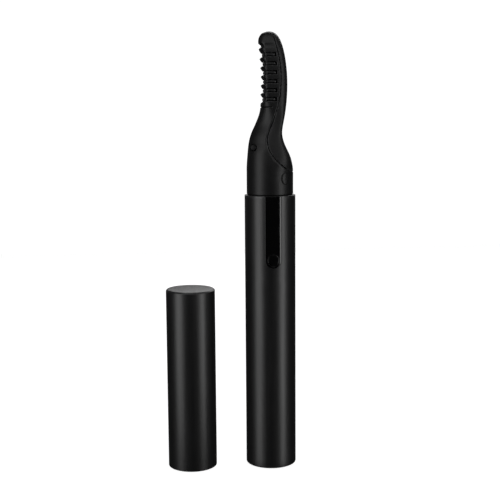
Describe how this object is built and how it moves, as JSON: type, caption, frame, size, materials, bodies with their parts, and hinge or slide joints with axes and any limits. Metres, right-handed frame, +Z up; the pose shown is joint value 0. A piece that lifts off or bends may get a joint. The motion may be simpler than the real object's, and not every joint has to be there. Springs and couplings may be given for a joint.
{
  "type": "heated comb eyelash curler",
  "caption": "Pen-shaped heated eyelash curler with a curved comb head, a power key in a gloss panel, a charging socket in its base, and a pull-off cap standing beside it.",
  "frame": {"origin": "mouth of the charging socket, at the centre of the pen's base, on the plane that the pen stands on", "axes": "+Z up along the pen's axis; the comb's teeth point along -X, the panel and power key face -Y, and the cap stands on the -X side"},
  "size_m": [0.0412, 0.016, 0.1372],
  "materials": {
    "tube": "satin black anodised",
    "cap": "satin black anodised",
    "liner": "moulded",
    "plug": "fine matte",
    "socket_steel": "drawn",
    "socket_plastic": "moulded",
    "contact_gold": "gold plated",
    "circuit_board": "solder mask",
    "chip": "moulded",
    "solder_parts": "ceramic",
    "carrier": "moulded",
    "battery_wrap": "shrink wrap",
    "nickel": "rolled",
    "foam": "foam",
    "coil": "ferrite",
    "switch_plastic": "moulded",
    "plunger": "moulded",
    "key": "gloss black",
    "panel": "gloss black",
    "adhesive": "adhesive sheet",
    "clear_plastic": "clear acrylic",
    "light": "diffuser",
    "head": "fine matte",
    "head_cover": "fine matte",
    "heater": "black coated",
    "film": "polyimide",
    "silicone": "silicone",
    "sensor": "glass bead",
    "smoked_lens": "smoked acrylic",
    "lead_red": "insulated wire",
    "lead_white": "insulated wire",
    "lead_black": "insulated wire",
    "lead_yellow": "insulated wire",
    "screw": "zinc plated"
  },
  "bodies": {
    "pen": {"outer_tube": "tube", "base_plug": "plug", "usb_shell": "socket_steel", "usb_tongue": "socket_plastic", "usb_contacts": "contact_gold", "charge_board": "circuit_board", "charge_chip": "chip", "charge_parts": "solder_parts", "rear_carrier": "carrier", "front_carrier": "carrier", "battery_cell": "battery_wrap", "battery_tabs": "nickel", "battery_pad_lower": "foam", "battery_pad_upper": "foam", "battery_tape": "foam", "main_board": "circuit_board", "controller_chip": "chip", "power_coil": "coil", "board_parts": "solder_parts", "switch_body": "switch_plastic", "window_panel": "panel", "panel_tape": "adhesive", "light_guide": "clear_plastic", "status_lights": "light", "comb_shell": "head", "back_cover": "head_cover", "heater_plate": "heater", "heater_film": "film", "heater_backing": "silicone", "heat_sensor": "sensor", "ready_light_pipe": "smoked_lens", "ready_light": "light", "battery_leads": "lead_red", "charge_leads": "lead_white", "heater_leads": "lead_black", "sensor_leads": "lead_yellow", "head_screw": "screw"},
    "key": {"power_key": "key", "switch_plunger": "plunger"},
    "cap": {"cap_shell": "cap", "cap_liner": "liner"}
  },
  "joints": [
    {"name": "key_press", "type": "slide", "parent": "pen", "child": "key", "axis": [0, 1, 0], "range_m": [0, 0.00035], "stiffness_N_per_m": 4500},
    {"name": "cap_lift", "type": "slide", "parent": "pen", "child": "cap", "axis": [0, 0, 1], "range_m": [0, 0.08]}
  ]
}
